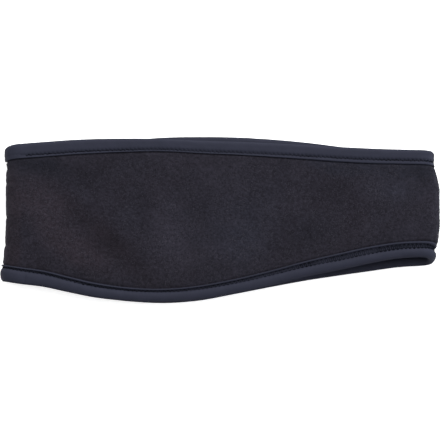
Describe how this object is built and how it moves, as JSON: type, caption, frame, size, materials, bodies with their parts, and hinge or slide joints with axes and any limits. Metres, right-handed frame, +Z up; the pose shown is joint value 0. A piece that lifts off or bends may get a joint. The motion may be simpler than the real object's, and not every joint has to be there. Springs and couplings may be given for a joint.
{
  "type": "ear warmer headband",
  "caption": "Fleece ear warmer headband laid flat as a closed loop, its lower edge dipping over the ear and both edges wrapped in a folded stretch binding.",
  "frame": {"origin": "centre of the laid band in plan, on the surface that it lies on", "axes": "+X along the laid band towards the lower, bulging fold, +Y from the ear edge to the brow edge, +Z up through the layers"},
  "size_m": [0.25, 0.0948, 0.015],
  "materials": {
    "fleece": "dark charcoal fleece, soft matte nap",
    "binding": "smooth dark navy stretch knit, faint sheen"
  },
  "bodies": {
    "root": {"fleece_band": "fleece", "top_binding": "binding", "bottom_binding": "binding"}
  },
  "joints": []
}
